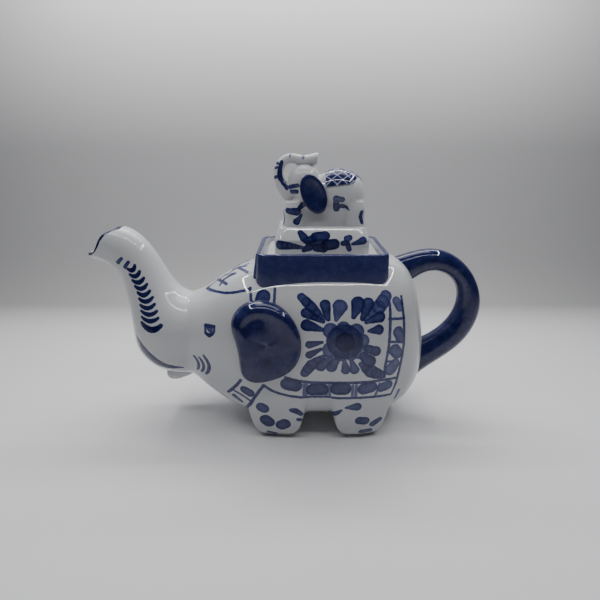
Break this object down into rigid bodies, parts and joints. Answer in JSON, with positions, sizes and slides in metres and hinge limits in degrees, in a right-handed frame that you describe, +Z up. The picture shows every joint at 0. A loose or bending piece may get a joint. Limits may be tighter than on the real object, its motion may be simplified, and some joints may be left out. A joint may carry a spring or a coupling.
{
  "type": "elephant teapot",
  "caption": "Elephant-shaped porcelain teapot: trunk spout, loop handle, boxed collar on the back and a loose lid with a small trunk-up elephant, painted in cobalt.",
  "frame": {"origin": "on the table, under the middle of the overall length (trunk tip to back of handle), in the elephant's middle plane", "axes": "-X from the body to the trunk tip, +X to the handle, +Z up; the elephant's middle plane is Y = 0"},
  "size_m": [0.2407, 0.0892, 0.167],
  "materials": {
    "painted_body_glaze": "clear glossy glaze over white porcelain with cobalt brushwork",
    "painted_trunk_glaze": "clear glossy glaze over white porcelain with cobalt crescents and a cobalt mouth edge",
    "plain_white_glaze": "clear glossy glaze over white porcelain",
    "cobalt_glaze": "glossy glaze over a solid, streaky cobalt wash",
    "collar_glaze": "cobalt wash outside, white glaze inside, glossy",
    "painted_lid_glaze": "clear glossy glaze over white porcelain with small cobalt flowers",
    "saddle_glaze": "cobalt lattice on a white saddle cloth under glossy glaze",
    "bare_porcelain": "unglazed, finely ground porcelain"
  },
  "bodies": {
    "pot": {"pot_body": "painted_body_glaze", "front_right_leg": "painted_body_glaze", "front_left_leg": "painted_body_glaze", "rear_right_leg": "painted_body_glaze", "rear_left_leg": "painted_body_glaze", "trunk_spout": "painted_trunk_glaze", "spout_strainer": "plain_white_glaze", "lower_lip": "plain_white_glaze", "handle": "cobalt_glaze", "right_ear": "cobalt_glaze", "left_ear": "cobalt_glaze", "howdah_collar": "collar_glaze"},
    "lid": {"lid_plate": "plain_white_glaze", "lid_flange": "bare_porcelain", "lid_plinth": "painted_lid_glaze", "finial_body": "painted_lid_glaze", "finial_trunk": "painted_lid_glaze", "finial_right_ear": "cobalt_glaze", "finial_left_ear": "cobalt_glaze", "finial_saddle_cloth": "saddle_glaze"}
  },
  "joints": [
    {"name": "lid_lift", "type": "slide", "parent": "pot", "child": "lid", "axis": [0, 0, 1], "range_m": [0, 0.05]}
  ]
}
